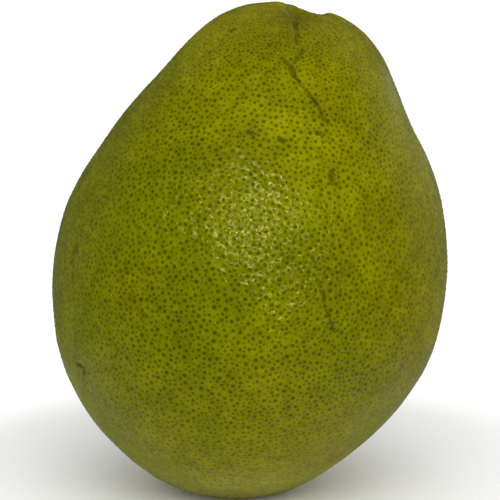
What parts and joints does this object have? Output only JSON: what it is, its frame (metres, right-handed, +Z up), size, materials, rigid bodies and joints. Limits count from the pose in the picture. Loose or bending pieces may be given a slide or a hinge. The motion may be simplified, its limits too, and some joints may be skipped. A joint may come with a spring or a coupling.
{
  "type": "pomelo",
  "caption": "Whole ripe pomelo with a furrowed neck and a dry stem button, standing on a small flat spot.",
  "frame": {"origin": "middle of the fruit's footprint box, on the surface that it stands on", "axes": "+Z up; +X the way the neck leans; +Y away from the side with the deeper furrow"},
  "size_m": [0.1338, 0.1329, 0.1678],
  "materials": {
    "rind": "waxy citrus rind, olive yellow-green with darker oil glands",
    "calyx": "dry, rough"
  },
  "bodies": {
    "root": {"pomelo_fruit": "rind", "stem_button": "calyx"}
  },
  "joints": []
}
